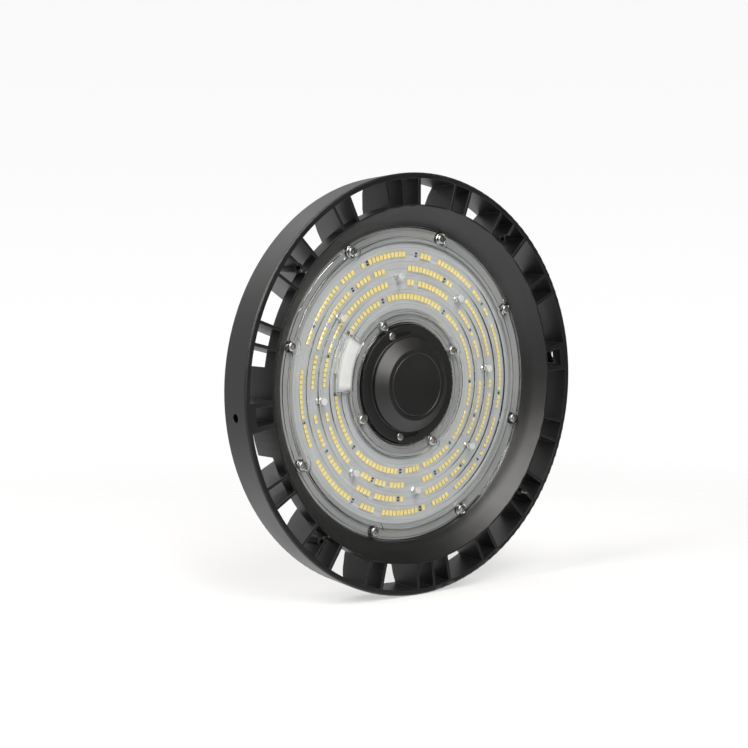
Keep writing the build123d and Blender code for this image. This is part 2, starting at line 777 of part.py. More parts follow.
def cover_seal():
    """The flat gasket under the cover, with a lobe round each screw."""
    outline = Circle(compartment_radius) - Circle(compartment_inner)
    lobes = [Rot(0, 0, -angle) * Pos(cover_screw_circle, 0) * Circle(cover_boss_radius)
             for angle in cover_screw_angles]
    outline += lobes
    outline = outline & Circle(compartment_radius)
    outline -= [Rot(0, 0, -angle) * Pos(cover_screw_circle, 0) * Circle(cover_screw_radius + screw_clearance)
                for angle in cover_screw_angles]
    return Pos(0, 0, compartment_top) * extrude(outline, cover_gasket)


def cover_screws():
    length = cover_height + cover_gasket + cover_screw_depth - cover_screw_radius
    one = screw(cover_screw_head_radius, cover_screw_head_height, cover_screw_pilot, length)
    upright = Rot(180, 0, 0) * one
    return [seen(angle, Pos(cover_screw_circle, 0, cover_top_z) * upright) for angle in cover_screw_angles]


def outward(sign, shape):
    """Places a shape made along +Z, from its seat at Z = 0, on a side port's face."""
    return Pos(0, sign * port_face, port_height) * Rot(-sign * 90, 0, 0) * shape


def gland_body():
    """The gland's threaded body: hexagon outside, thread through the wall, seat for the seal."""
    neck_end = gland_flange_length + gland_neck_length
    hexagon = extrude(RegularPolygon(gland_flange_radius, 6), gland_flange_length)
    neck = rod(gland_seal_radius + gland_neck_wall, gland_flange_length, neck_end)
    thread = rod(gland_thread_radius - thread_clearance, -gland_thread_length, 0)
    bore = rod(gland_cable_radius + 1.0, -gland_thread_length - 1.0, neck_end)
    seat = rod(gland_seal_radius, gland_flange_length, neck_end + 1.0)
    return outward(1, hexagon + neck + thread - bore - seat)


def gland_seal():
    """The rubber sleeve that grips the cable."""
    start = gland_flange_length + gland_seal_slack
    sleeve = tube(gland_seal_radius - gland_seal_slack, gland_cable_radius, start, start + gland_seal_length)
    return outward(1, sleeve)


def gland_nut():
    """The domed clamping nut."""
    start = gland_flange_length + gland_nut_gap
    end = start + gland_nut_length
    grip = extrude(RegularPolygon(gland_nut_radius, 6), gland_nut_length - gland_nut_dome)
    dome = extrude(Circle(gland_nut_radius * 0.86), gland_nut_dome, taper=25)
    dome = Pos(0, 0, end - gland_nut_dome) * dome
    shell = Pos(0, 0, start) * grip + dome
    cavity = rod(gland_seal_radius + gland_neck_wall + gland_seal_slack, start - 1.0,
                 gland_flange_length + gland_neck_length + 2 * gland_nut_gap)
    sleeve_room = rod(gland_seal_radius, start, gland_flange_length + gland_seal_length + gland_nut_gap)
    mouth = rod(gland_cable_radius + gland_nut_mouth, start, end + 1.0)
    return outward(1, shell - cavity - sleeve_room - mouth)


def gland_locknut():
    """The nut on the gland's thread inside the compartment."""
    seat = sqrt(compartment_inner ** 2 - gland_locknut_radius ** 2)
    hexagon = RegularPolygon(gland_locknut_radius, 6) - Circle(gland_thread_radius)
    ring = extrude(hexagon, gland_locknut_length)
    return outward(1, Pos(0, 0, seat - port_face - gland_locknut_length - thread_clearance) * ring)


def breather_vent():
    """The screw-in pressure vent opposite the gland."""
    head = rod(vent_cap_radius, 0, vent_cap_length)
    slots = [Rot(0, 0, 60 * k) * Pos(vent_cap_radius, 0, 1.6) * Box(2.4, 3.0, 1.6) for k in range(6)]
    thread = rod(vent_thread_radius - thread_clearance, -vent_thread_length, 0)
    return outward(-1, head - slots + thread)


def driver_tray():
    """The plastic tray that insulates the driver."""
    length, width, height = tray_size
    middle = tray_floor_z + height / 2
    tray = Pos(0, 0, middle) * Box(length, width, height)
    tray = fillet(tray.edges().filter_by(Axis.Z), 4.0)
    tray -= Pos(0, 0, middle + tray_wall) * Box(length - 2 * tray_wall, width - 2 * tray_wall, height)
    tray += [rod(tray_foot_radius, tray_floor_z, driver_board_z, x * tray_foot_x, y * tray_foot_y)
             for x in (-1, 1) for y in (-1, 1)]
    return tray - [rod(tray_screw_radius + 0.2, tray_floor_z - 1.0, driver_board_z + 1.0,
                       x * tray_foot_x, y * tray_foot_y) for x in (-1, 1) for y in (-1, 1)]


def driver_board():
    """The driver's circuit board on the tray's posts."""
    board = Pos(0, 0, driver_board_z + driver_board_thickness / 2) * Box(
        tray_size[0] - 2 * tray_wall - 1.0, tray_size[1] - 2 * tray_wall - 1.0, driver_board_thickness)
    top = driver_board_z + driver_board_thickness
    hole = rod(tray_screw_radius + 0.2, driver_board_z - 1.0, top + 1.0)
    return board - [Pos(x * tray_foot_x, y * tray_foot_y) * hole for x in (-1, 1) for y in (-1, 1)]


def driver_screws():
    """The four screws through board and tray into the casting."""
    top = driver_board_z + driver_board_thickness
    one = Rot(180, 0, 0) * screw(board_screw_head_radius, board_screw_head_height, tray_screw_radius,
                                 top - tray_floor_z + tray_pilot_depth - 1.0)
    return [Pos(x * tray_foot_x, y * tray_foot_y, top) * one for x in (-1, 1) for y in (-1, 1)]


def driver_transformer():
    """The main transformer: core and winding bobbin."""
    length, width, height = transformer_size
    base = driver_board_z + driver_board_thickness
    core = Pos(transformer_x, 0, base + height / 2) * Box(length, width * 0.6, height)
    winding = Pos(transformer_x, 0, base + height / 2) * Box(length * 0.62, width, height * 0.86)
    return core + winding


def driver_capacitors():
    """Two electrolytic capacitors with rounded tops, lying side by side across the board."""
    base = driver_board_z + driver_board_thickness
    can = rod(capacitor_radius, 0, capacitor_height)
    can = chamfer(can.edges().sort_by(Axis.Z)[-1], 1.0)
    return [Pos(capacitor_x, side * (capacitor_radius + capacitor_gap / 2), base) * can for side in (-1, 1)]


def driver_choke():
    """The wound ring choke of the mains filter, standing on edge."""
    base = driver_board_z + driver_board_thickness
    ring = Torus(choke_radius - choke_thickness / 2 + 1.0, choke_thickness / 2 - 0.6)
    reach = choke_radius + 0.4
    return Pos(choke_x, choke_y, base + reach) * Rot(90, 0, 0) * ring


def driver_terminal():
    """The screw terminal where the mains conductors end."""
    length, width, height = terminal_size
    base = driver_board_z + driver_board_thickness
    block = Pos(0, 0, height / 2) * Box(length, width, height)
    mouth = Box(length, width / 5, height / 3)
    mouths = [Pos(length / 2, width / 3 * k, height / 3) * mouth for k in (-1, 0, 1)]
    return Pos(terminal_x, terminal_y, base) * (block - mouths)


def parts():
    """Every node and its solid or group of solids."""
    nodes = {
        "heatsink_body": heatsink_body(),
        "lens_plate": lens_plate(),
        "lens_gasket_outer": outer_gasket(),
        "lens_gasket_inner": inner_gasket(),
        "led_board": led_board(),
        "thermal_pad": thermal_pad(),
        "board_resistors": board_resistors(),
        "board_connector": board_connector(),
        "board_screws": board_screws(),
        "lens_screws_outer": lens_screws(outer_screw_circle, outer_screw_angles),
        "lens_screws_inner": lens_screws(inner_screw_circle, inner_screw_angles),
        "sensor_cap": sensor_cap(),
        "sensor_cap_gasket": sensor_cap_gasket(),
        "sensor_cap_screws": cap_screws(),
        "sensor_socket": sensor_socket(),
        "rear_cover": rear_cover(),
        "rear_cover_gasket": cover_seal(),
        "rear_cover_screws": cover_screws(),
        "cable_gland_body": gland_body(),
        "cable_gland_seal": gland_seal(),
        "cable_gland_nut": gland_nut(),
        "cable_gland_locknut": gland_locknut(),
        "breather_vent": breather_vent(),
        "driver_tray": driver_tray(),
        "driver_board": driver_board(),
        "driver_screws": driver_screws(),
        "driver_transformer": driver_transformer(),
        "driver_capacitors": driver_capacitors(),
        "driver_choke": driver_choke(),
        "driver_terminal": driver_terminal(),
    }
    for index in range(len(led_radii)):
        nodes[f"led_ring_{index + 1}"] = led_ring(index)
    return nodes


os.makedirs("parts", exist_ok=True)
for name, shape in parts().items():
    if isinstance(shape, list):
        shape = Compound(shape)
    export_step(shape, f"parts/{name}.step")
    print(name, len(shape.solids()), round(shape.volume / 1000, 2))
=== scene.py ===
import bpy
import math
from mathutils import Matrix, Vector


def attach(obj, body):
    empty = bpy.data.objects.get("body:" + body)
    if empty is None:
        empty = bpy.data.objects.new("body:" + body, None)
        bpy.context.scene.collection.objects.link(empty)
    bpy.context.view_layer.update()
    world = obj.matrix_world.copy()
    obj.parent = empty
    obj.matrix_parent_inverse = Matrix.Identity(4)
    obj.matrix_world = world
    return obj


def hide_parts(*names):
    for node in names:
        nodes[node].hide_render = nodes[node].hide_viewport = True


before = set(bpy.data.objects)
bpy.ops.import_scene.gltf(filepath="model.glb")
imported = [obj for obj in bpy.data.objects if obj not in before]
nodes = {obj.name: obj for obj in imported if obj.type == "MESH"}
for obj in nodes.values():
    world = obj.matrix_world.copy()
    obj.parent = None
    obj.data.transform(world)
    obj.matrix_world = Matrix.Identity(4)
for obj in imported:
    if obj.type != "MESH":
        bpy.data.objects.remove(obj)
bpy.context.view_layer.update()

MM = 0.001

# Sizes in millimetres. Angles called "seen" are read from below, anticlockwise from the right bracket hole.
rim_radius = 150.0
lens_shelf_z = 17.0
lens_seat_z = 16.5

lens_radius = 112.5
lens_inner_radius = 43.5
lens_face_z = 12.4
lens_bead_width = 1.9
lens_bead_drop = 0.8
lens_outer_step_radius = 105.4
lens_inner_step_radius = 51.6
lens_optic_z = 11.6
lens_back_z = 14.6
lens_dome_width = 8.1
lens_dome_height = 1.05
lens_groove_width = 5.4
lens_groove_height = 0.68
lens_boss_radius = 7.5
lens_pad_radius = 4.7
lens_channel_depth = 0.35
lens_outer_channel = (106.4, 109.5)
lens_inner_channel = (46.3, 49.8)
lens_collar_height = 1.2
lens_gasket_seat = (49.9, 104.2)
gasket_hole_radius = 4.4
outer_screw_circle = 107.5
inner_screw_circle = 47.6
lens_post_circle = 77.2
lens_post_radius = 2.6
lens_post_height = 2.2
lens_bay_angle = 158.0
lens_bay_half_angle = 20.0
lens_bay_inner = 53.0
lens_bay_outer = 68.0
lens_bay_rise = 3.4
lens_bay_wall = 1.6

board_face_z = 17.0
led_radii = (92.6, 82.6, 72.6, 62.6)
led_pitch = 3.45
led_length = 3.5
led_width = 2.8
led_face_width = 3.05
led_height = 0.7
led_wide_breaks = (
    tuple(22.5 + 45.0 * k for k in range(8)),
    (0.0, 45.0, 90.0, 180.0, 225.0, 270.0, 315.0),
    (0.0, 45.0, 90.0, 180.0, 225.0, 270.0, 315.0),
    (lens_bay_angle,),
)
led_wide_widths = (5.0, 12.0, 12.4, 43.0)
led_narrow_breaks = (
    (41.0, 82.0, 123.0, 163.0, 237.0, 278.0, 319.0),
    (105.0, 140.5, 156.5, 191.5, 243.0, 295.0, 348.0),
    (18.5, 77.5, 140.5, 148.0, 193.0, 251.0),
    (28.5, 83.5, 279.0, 334.0),
)
led_narrow_width = 2.4
resistor_angles = (
    (31.0, 78.0, 106.0, 146.0, 188.0, 233.0, 273.0, 314.0, 347.0),
    (57.5, 119.0, 205.5, 259.5, 304.5),
    (24.5, 156.0, 239.5, 287.5, 332.5),
    (48.5, 103.0, 216.0, 260.0, 307.5, 353.0),
)
resistor_length = 1.6
chip_clearance = 0.25

cap_flange_radius = 42.0
cap_flange_z = 11.5
cap_flange_thickness = 2.5
cap_cone_radius = 33.7
cap_cone_z = 8.5
cap_top_radius = 25.6
cap_top_z = 2.7
cap_wall = 2.5
cap_skirt_radius = 41.0
cap_skirt_wall = 3.0
cap_seat_z = 15.8
cap_ring_radius = 21.8
cap_ring_width = 0.7
cap_ring_depth = 0.4
cap_screw_circle = 37.6
cap_screw_angles = (107.0, 253.0)
cap_slot_length = 15.0
cap_slot_width = 3.0
cap_slot_round = 3.3
cap_slot_depth = 1.2
cap_pad_radius = 3.6

screw_head_radius = 3.1
screw_head_height = 1.7
screw_shank_radius = 1.5
screw_length = 8.0

outer_screw_angles = [22.5 + 45.0 * k for k in range(8)]
inner_screw_angles = [22.5 + 90.0 * k for k in range(4)]
post_angles = [45.0 * k for k in range(8)]


# ---- modelling helpers -------------------------------------------------------------------------------------------

def clear_selection():
    if bpy.context.object and bpy.context.object.mode != "OBJECT":
        bpy.ops.object.mode_set(mode="OBJECT")
    bpy.ops.object.select_all(action="DESELECT")


def pick(obj):
    clear_selection()
    obj.select_set(True)
    bpy.context.view_layer.objects.active = obj


def edit(obj):
    pick(obj)
    bpy.ops.object.mode_set(mode="EDIT")
    bpy.ops.mesh.select_all(action="SELECT")


def named(name):
    obj = bpy.context.object
    obj.name = name
    obj.data.name = name
    return obj


def settle(obj):
    """Puts the object's place into its mesh."""
    pick(obj)
    bpy.ops.object.transform_apply(location=True, rotation=True, scale=True)


def first_vertex(name, place):
    """A new mesh of one vertex, left in edit mode, from which an outline is drawn."""
    clear_selection()
    bpy.ops.mesh.primitive_plane_add(size=MM)
    obj = named(name)
    bpy.ops.object.mode_set(mode="EDIT")
    bpy.ops.mesh.select_mode(type="VERT")
    bpy.ops.mesh.select_all(action="SELECT")
    bpy.ops.mesh.merge(type="CENTER")
    bpy.ops.transform.translate(value=place)
    return obj


def drawn_outline(name, points):
    """Draws an outline in the XZ plane by extruding one vertex from point to point. Off the axis it is closed."""
    obj = first_vertex(name, (points[0][0] * MM, 0, points[0][1] * MM))
    closed = points[0][0] > 0
    for here, there in zip(points, points[1:] + points[:1] if closed else points[1:]):
        step = ((there[0] - here[0]) * MM, 0, (there[1] - here[1]) * MM)
        bpy.ops.mesh.extrude_vertices_move(TRANSFORM_OT_translate={"value": step})
    bpy.ops.mesh.select_all(action="SELECT")
    bpy.ops.mesh.remove_doubles(threshold=1e-6)
    return obj


def turned(name, points, steps=192):
    """Spins an outline of (radius, height) points about the Z axis."""
    obj = drawn_outline(name, points)
    bpy.ops.mesh.spin(steps=steps, angle=2 * math.pi, center=(0, 0, 0), axis=(0, 0, 1))
    bpy.ops.mesh.select_all(action="SELECT")
    bpy.ops.mesh.remove_doubles(threshold=1e-6)
    bpy.ops.mesh.normals_make_consistent(inside=False)
    bpy.ops.object.mode_set(mode="OBJECT")
    return obj


def arch(centre, base, rise, width, count):
    """Points of a low arch, from its outer foot to its inner one, rising towards the front."""
    half = width / 2
    radius = (half * half + rise * rise) / (2 * rise)
    reach = math.asin(min(1.0, half / radius))
    middle = base - rise + radius
    return [(centre + radius * math.sin(reach * (1 - 2 * k / count)),
             middle - radius * math.cos(reach * (1 - 2 * k / count))) for k in range(count + 1)]


def at(radius, seen, z=0.0):
    """A place on the light, from its radius, seen angle and height."""
    a = math.radians(-seen)
    return Vector((radius * math.cos(a), radius * math.sin(a), z)) * MM


def peg(radius, low, high, place, vertices=48):
    clear_selection()
    bpy.ops.mesh.primitive_cylinder_add(vertices=vertices, radius=radius * MM, depth=(high - low) * MM,
                                        location=(place.x, place.y, (low + high) / 2 * MM))
    obj = named("peg")
    settle(obj)
    return obj


def joined(pieces, name):
    clear_selection()
    for piece in pieces:
        piece.select_set(True)
    bpy.context.view_layer.objects.active = pieces[0]
    if len(pieces) > 1:
        bpy.ops.object.join()
    obj = bpy.context.object
    obj.name = name
    obj.data.name = name
    return obj


def combine(body, tools, operation, crossing=False):
    """Adds the tools to the body or cuts them from it. Tools that cross each other are marked as crossing."""
    tool = joined(tools, "tool")
    modifier = body.modifiers.new("shape", "BOOLEAN")
    modifier.operation = operation
    modifier.solver = "EXACT"
    modifier.use_self = crossing
    modifier.object = tool
    pick(body)
    bpy.ops.object.modifier_apply(modifier=modifier.name)
    bpy.data.objects.remove(tool)


def copied(obj, name, matrix):
    """A copy with its own mesh, its place put into the mesh."""
    mesh = obj.data.copy()
    mesh.transform(matrix)
    other = bpy.data.objects.new(name, mesh)
    bpy.context.scene.collection.objects.link(other)
    return other


def apart(angle, other):
    """The smaller angle between two directions."""
    return abs((angle - other + 180.0) % 360.0 - 180.0)


def turned_to(seen, radius=0.0, z=0.0):
    return Matrix.Rotation(math.radians(-seen), 4, "Z") @ Matrix.Translation(Vector((radius, 0, z)) * MM)


def tidy(obj, angle=35.0):
    """Merges doubles, points the faces outwards and smooths what isn't a real edge."""
    edit(obj)
    bpy.ops.mesh.remove_doubles(threshold=1e-6)
    bpy.ops.mesh.normals_make_consistent(inside=False)
    bpy.ops.object.mode_set(mode="OBJECT")
    bpy.ops.object.shade_smooth_by_angle(angle=math.radians(angle))
    return obj


def even_normals(obj, mode="FACE_AREA", weight=100):
    """Lets the large flat faces keep their own direction, so that they stay flat next to rounded ones."""
    modifier = obj.modifiers.new("even", "WEIGHTED_NORMAL")
    modifier.mode = mode
    modifier.weight = weight
    modifier.keep_sharp = True
    pick(obj)
    bpy.ops.object.modifier_apply(modifier=modifier.name)


def smooth_copy(node, name, angle=22.0):
    """A merged and smoothed copy of a solid, which is shown in its place."""
    obj = bpy.data.objects.new(name, nodes[node].data.copy())
    bpy.context.scene.collection.objects.link(obj)
    edit(obj)
    bpy.ops.mesh.remove_doubles(threshold=1e-6)
    bpy.ops.object.mode_set(mode="OBJECT")
    bpy.ops.object.shade_smooth_by_angle(angle=math.radians(angle))
    even_normals(obj, "FACE_AREA_WITH_ANGLE", 50)
    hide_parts(node)
    return obj


def finish_piece(obj, material):
    if not isinstance(material, list):
        obj.data.materials.clear()
        obj.data.materials.append(material)
    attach(obj, "root")
    return obj


# ---- materials ---------------------------------------------------------------------------------------------------

def new_group(name, inputs, outputs):
    group = bpy.data.node_groups.new(name, "ShaderNodeTree")
    for label, kind, value in inputs:
        socket = group.interface.new_socket(label, in_out="INPUT", socket_type=kind)
        if value is not None:
            socket.default_value = value
    for label, kind in outputs:
        group.interface.new_socket(label, in_out="OUTPUT", socket_type=kind)
    return group, group.nodes.new("NodeGroupInput"), group.nodes.new("NodeGroupOutput")


def make_grain():
    """Fine pebbled grain of paint or moulded plastic, as a height and a slow drift of shade."""
    group, given, out = new_group("grain", [("Scale", "NodeSocketFloat", 1000.0), ("Drift scale", "NodeSocketFloat", 20.0)],
                                  [("Height", "NodeSocketFloat"), ("Drift", "NodeSocketFloat")])
    place = group.nodes.new("ShaderNodeTexCoord")
    fine = group.nodes.new("ShaderNodeTexNoise")
    fine.inputs["Detail"].default_value = 2.0
    slow = group.nodes.new("ShaderNodeTexNoise")
    slow.inputs["Detail"].default_value = 3.0
    link = group.links.new
    link(place.outputs["Object"], fine.inputs["Vector"])
    link(place.outputs["Object"], slow.inputs["Vector"])
    link(given.outputs["Scale"], fine.inputs["Scale"])
    link(given.outputs["Drift scale"], slow.inputs["Scale"])
    link(fine.outputs["Fac"], out.inputs["Height"])
    link(slow.outputs["Fac"], out.inputs["Drift"])
    return group


def make_edge():
    """Where the surface turns over an edge: a mask and the rounded normal there."""
    group, given, out = new_group("edge", [("Radius", "NodeSocketFloat", 0.0006)],
                                  [("Mask", "NodeSocketFloat"), ("Normal", "NodeSocketVector")])
    bevel = group.nodes.new("ShaderNodeBevel")
    bevel.samples = 6
    geometry = group.nodes.new("ShaderNodeNewGeometry")
    dot = group.nodes.new("ShaderNodeVectorMath")
    dot.operation = "DOT_PRODUCT"
    span = group.nodes.new("ShaderNodeMapRange")
    span.inputs["From Min"].default_value = 0.995
    span.inputs["From Max"].default_value = 0.86
    link = group.links.new
    link(given.outputs["Radius"], bevel.inputs["Radius"])
    link(bevel.outputs["Normal"], dot.inputs[0])
    link(geometry.outputs["Normal"], dot.inputs[1])
    link(dot.outputs["Value"], span.inputs["Value"])
    link(span.outputs["Result"], out.inputs["Mask"])
    link(bevel.outputs["Normal"], out.inputs["Normal"])
    return group


GRAIN = make_grain()
EDGE = make_edge()


def new_material(name):
    material = bpy.data.materials.new(name)
    material.use_nodes = True
    return material, material.node_tree.nodes, material.node_tree.links.new, material.node_tree.nodes["Principled BSDF"]


def placed(tree_nodes, group, **values):
    node = tree_nodes.new("ShaderNodeGroup")
    node.node_tree = group
    for label, value in values.items():
        node.inputs[label.replace("_", " ")].default_value = value
    return node


def shade_ramp(tree_nodes, low, high, dark, light):
    ramp = tree_nodes.new("ShaderNodeValToRGB")
    ramp.color_ramp.elements[0].position = low
    ramp.color_ramp.elements[1].position = high
    ramp.color_ramp.elements[0].color = (*dark, 1)
    ramp.color_ramp.elements[1].color = (*light, 1)
    return ramp


def grained(name, dark, light, roughness, scale, height, edge_colour=None, edge_radius=0.0006, drift=18.0,
            specular=0.5, metallic=0.0):
    """A material with fine grain, a slow drift of shade and, if asked for, a lighter turned edge."""
    material, tree, link, shader = new_material(name)
    grain = placed(tree, GRAIN, Scale=scale, Drift_scale=drift)
    ramp = shade_ramp(tree, 0.35, 0.65, dark, light)
    bump = tree.new("ShaderNodeBump")
    bump.inputs["Strength"].default_value = 1.0
    bump.inputs["Distance"].default_value = height
    gloss = tree.new("ShaderNodeMapRange")
    gloss.inputs["From Min"].default_value = 0.3
    gloss.inputs["From Max"].default_value = 0.7
    gloss.inputs["To Min"].default_value = roughness - 0.04
    gloss.inputs["To Max"].default_value = roughness + 0.05
    link(grain.outputs["Drift"], ramp.inputs["Fac"])
    link(grain.outputs["Height"], bump.inputs["Height"])
    link(grain.outputs["Drift"], gloss.inputs["Value"])
    link(gloss.outputs["Result"], shader.inputs["Roughness"])
    link(bump.outputs["Normal"], shader.inputs["Normal"])
    shader.inputs["Specular IOR Level"].default_value = specular
    shader.inputs["Metallic"].default_value = metallic
    if edge_colour is None:
        link(ramp.outputs["Color"], shader.inputs["Base Color"])
        return material
    edge = placed(tree, EDGE, Radius=edge_radius)
    mix = tree.new("ShaderNodeMix")
    mix.data_type = "RGBA"
    mix.inputs["B"].default_value = (*edge_colour, 1)
    link(edge.outputs["Mask"], mix.inputs["Factor"])
    link(ramp.outputs["Color"], mix.inputs["A"])
    link(mix.outputs["Result"], shader.inputs["Base Color"])
    link(edge.outputs["Normal"], bump.inputs["Normal"])
    return material


def clear_plastic(name):
    """Clear polycarbonate that lets the studio light through to the board."""
    material, tree, link, shader = new_material(name)
    shader.inputs["Base Color"].default_value = (0.97, 0.98, 0.98, 1)
    shader.inputs["Metallic"].default_value = 0.0
    shader.inputs["Transmission Weight"].default_value = 1.0
    shader.inputs["IOR"].default_value = 1.49
    grain = placed(tree, GRAIN, Scale=900.0, Drift_scale=60.0)
    gloss = tree.new("ShaderNodeMapRange")
    gloss.inputs["From Min"].default_value = 0.4
    gloss.inputs["From Max"].default_value = 0.75
    gloss.inputs["To Min"].default_value = 0.0
    gloss.inputs["To Max"].default_value = 0.02
    bump = tree.new("ShaderNodeBump")
    bump.inputs["Distance"].default_value = 0.00001
    link(grain.outputs["Drift"], gloss.inputs["Value"])
    link(gloss.outputs["Result"], shader.inputs["Roughness"])
    link(grain.outputs["Drift"], bump.inputs["Height"])
    link(bump.outputs["Normal"], shader.inputs["Normal"])
    path = tree.new("ShaderNodeLightPath")
    either = tree.new("ShaderNodeMath")
    either.operation = "MAXIMUM"
    through = tree.new("ShaderNodeBsdfTransparent")
    through.inputs["Color"].default_value = (0.93, 0.94, 0.94, 1)
    mix = tree.new("ShaderNodeMixShader")
    out = tree["Material Output"]
    link(path.outputs["Is Shadow Ray"], either.inputs[0])
    link(path.outputs["Is Diffuse Ray"], either.inputs[1])
    link(either.outputs["Value"], mix.inputs["Fac"])
    link(shader.outputs["BSDF"], mix.inputs[1])
    link(through.outputs["BSDF"], mix.inputs[2])
    link(mix.outputs["Shader"], out.inputs["Surface"])
    return material


def frosted_plastic():
    """The same plastic where the mould is blasted: milky, with a fine grain."""
    material, tree, link, shader = new_material("frosted_post")
    grain = placed(tree, GRAIN, Scale=2400.0, Drift_scale=160.0)
    ramp = shade_ramp(tree, 0.3, 0.7, (0.80, 0.81, 0.81), (0.90, 0.91, 0.91))
    bump = tree.new("ShaderNodeBump")
    bump.inputs["Distance"].default_value = 0.00004
    link(grain.outputs["Drift"], ramp.inputs["Fac"])
    link(ramp.outputs["Color"], shader.inputs["Base Color"])
    link(grain.outputs["Height"], bump.inputs["Height"])
    link(bump.outputs["Normal"], shader.inputs["Normal"])
    shader.inputs["Roughness"].default_value = 0.34
    shader.inputs["Metallic"].default_value = 0.0
    shader.inputs["Transmission Weight"].default_value = 0.5
    shader.inputs["IOR"].default_value = 1.49
    return material


def hazy_bay():
    """The bay's roof: clear like the rest of the lens, with a milky patch that thins out towards the edges."""
    material = clear_plastic("hazy_bay")
    tree = material.node_tree.nodes
    link = material.node_tree.links.new
    grain = placed(tree, GRAIN, Scale=2400.0, Drift_scale=160.0)
    ramp = shade_ramp(tree, 0.3, 0.7, (0.82, 0.83, 0.83), (0.92, 0.93, 0.93))
    bump = tree.new("ShaderNodeBump")
    bump.inputs["Distance"].default_value = 0.00004
    milk = tree.new("ShaderNodeBsdfPrincipled")
    milk.inputs["Roughness"].default_value = 0.4
    milk.inputs["Transmission Weight"].default_value = 0.3
    milk.inputs["IOR"].default_value = 1.49
    link(grain.outputs["Drift"], ramp.inputs["Fac"])
    link(ramp.outputs["Color"], milk.inputs["Base Color"])
    link(grain.outputs["Height"], bump.inputs["Height"])
    link(bump.outputs["Normal"], milk.inputs["Normal"])
    place = tree.new("ShaderNodeTexCoord")
    flat = tree.new("ShaderNodeVectorMath")
    flat.operation = "MULTIPLY"
    flat.inputs[1].default_value = (1, 1, 0)
    length = tree.new("ShaderNodeVectorMath")
    length.operation = "LENGTH"
    aside = tree.new("ShaderNodeMath")
    aside.operation = "SUBTRACT"
    aside.inputs[1].default_value = (lens_bay_inner + lens_bay_outer) / 2 * MM
    offset = tree.new("ShaderNodeMath")
    offset.operation = "ABSOLUTE"
    across = tree.new("ShaderNodeMapRange")
    across.interpolation_type = "SMOOTHSTEP"
    across.inputs["From Min"].default_value = 0.0072
    across.inputs["From Max"].default_value = 0.0038
    unit = tree.new("ShaderNodeVectorMath")
    unit.operation = "NORMALIZE"
    turn = tree.new("ShaderNodeVectorMath")
    turn.operation = "DOT_PRODUCT"
    turn.inputs[1].default_value = at(1.0, lens_bay_angle).normalized()
    along = tree.new("ShaderNodeMapRange")
    along.interpolation_type = "SMOOTHSTEP"
    along.inputs["From Min"].default_value = 0.945
    along.inputs["From Max"].default_value = 0.975
    along.inputs["To Max"].default_value = 0.8
    patch = tree.new("ShaderNodeMath")
    patch.operation = "MULTIPLY"
    mix = tree.new("ShaderNodeMixShader")
    out = tree["Material Output"]
    link(place.outputs["Object"], flat.inputs[0])
    link(flat.outputs["Vector"], length.inputs[0])
    link(length.outputs["Value"], aside.inputs[0])
    link(aside.outputs["Value"], offset.inputs[0])
    link(offset.outputs["Value"], across.inputs["Value"])
    link(flat.outputs["Vector"], unit.inputs[0])
    link(unit.outputs["Vector"], turn.inputs[0])
    link(turn.outputs["Value"], along.inputs["Value"])
    link(across.outputs["Result"], patch.inputs[0])
    link(along.outputs["Result"], patch.inputs[1])
    link(patch.outputs["Value"], mix.inputs["Fac"])
    link(out.inputs["Surface"].links[0].from_socket, mix.inputs[1])
    link(milk.outputs["BSDF"], mix.inputs[2])
    link(mix.outputs["Shader"], out.inputs["Surface"])
    return material


def board_white():
    """White solder mask with faint copper traces running round the board."""
    material, tree, link, shader = new_material("board_white")
    place = tree.new("ShaderNodeTexCoord")
    split = tree.new("ShaderNodeSeparateXYZ")
    flat = tree.new("ShaderNodeCombineXYZ")
    length = tree.new("ShaderNodeVectorMath")
    length.operation = "LENGTH"
    wave = tree.new("ShaderNodeMath")
    wave.operation = "PINGPONG"
    wave.inputs[1].default_value = 0.0025
    line = tree.new("ShaderNodeMapRange")
    line.inputs["From Min"].default_value = 0.0021
    line.inputs["From Max"].default_value = 0.0023
    grain = placed(tree, GRAIN, Scale=700.0, Drift_scale=45.0)
    ramp = shade_ramp(tree, 0.3, 0.7, (0.45, 0.465, 0.48), (0.51, 0.52, 0.53))
    mix = tree.new("ShaderNodeMix")
    mix.data_type = "RGBA"
    mix.inputs["B"].default_value = (0.41, 0.425, 0.44, 1)
    bump = tree.new("ShaderNodeBump")
    bump.inputs["Distance"].default_value = 0.00003
    link(place.outputs["Object"], split.inputs["Vector"])
    link(split.outputs["X"], flat.inputs["X"])
    link(split.outputs["Y"], flat.inputs["Y"])
    link(flat.outputs["Vector"], length.inputs[0])
    link(length.outputs["Value"], wave.inputs[0])
    link(wave.outputs["Value"], line.inputs["Value"])
    link(grain.outputs["Drift"], ramp.inputs["Fac"])
    link(line.outputs["Result"], mix.inputs["Factor"])
    link(ramp.outputs["Color"], mix.inputs["A"])
    link(mix.outputs["Result"], shader.inputs["Base Color"])
    link(line.outputs["Result"], bump.inputs["Height"])
    link(bump.outputs["Normal"], shader.inputs["Normal"])
    shader.inputs["Roughness"].default_value = 0.42
    return material


def phosphor():
    """Yellow phosphor gel with fine speckle."""
    material, tree, link, shader = new_material("phosphor")
    grain = placed(tree, GRAIN, Scale=2600.0, Drift_scale=300.0)
    ramp = shade_ramp(tree, 0.35, 0.65, (0.90, 0.71, 0.24), (0.96, 0.81, 0.34))
    bump = tree.new("ShaderNodeBump")
    bump.inputs["Distance"].default_value = 0.00004
    link(grain.outputs["Drift"], ramp.inputs["Fac"])
    link(ramp.outputs["Color"], shader.inputs["Base Color"])
    link(grain.outputs["Height"], bump.inputs["Height"])
    link(bump.outputs["Normal"], shader.inputs["Normal"])
    shader.inputs["Roughness"].default_value = 0.35
    return material


